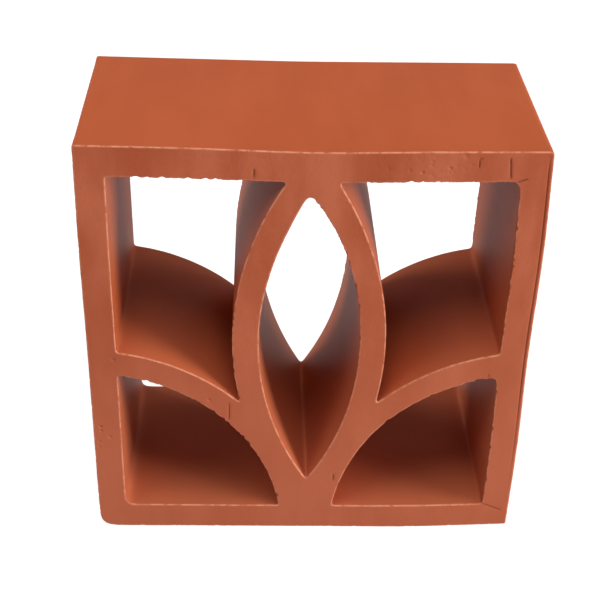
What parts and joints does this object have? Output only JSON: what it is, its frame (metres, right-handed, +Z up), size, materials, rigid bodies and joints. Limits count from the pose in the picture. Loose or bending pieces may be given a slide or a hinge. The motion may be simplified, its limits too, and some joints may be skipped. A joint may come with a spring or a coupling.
{
  "type": "clay screen block",
  "caption": "Square fired-clay screen block with a central leaf and quarter-ring petals, open from front to back, for ventilated walls, fences and garden screens.",
  "frame": {"origin": "middle of the bed, the lower face that the block stands on", "axes": "+Z up, +Y from the front cut face to the rear cut face along the openings, +X to the right seen from the front"},
  "size_m": [0.2, 0.1, 0.2],
  "materials": {
    "fired_clay": "unglazed, satin on the faces that the die smoothed and matte on the two wire-cut faces"
  },
  "bodies": {
    "root": {"screen_block": "fired_clay"}
  },
  "joints": []
}
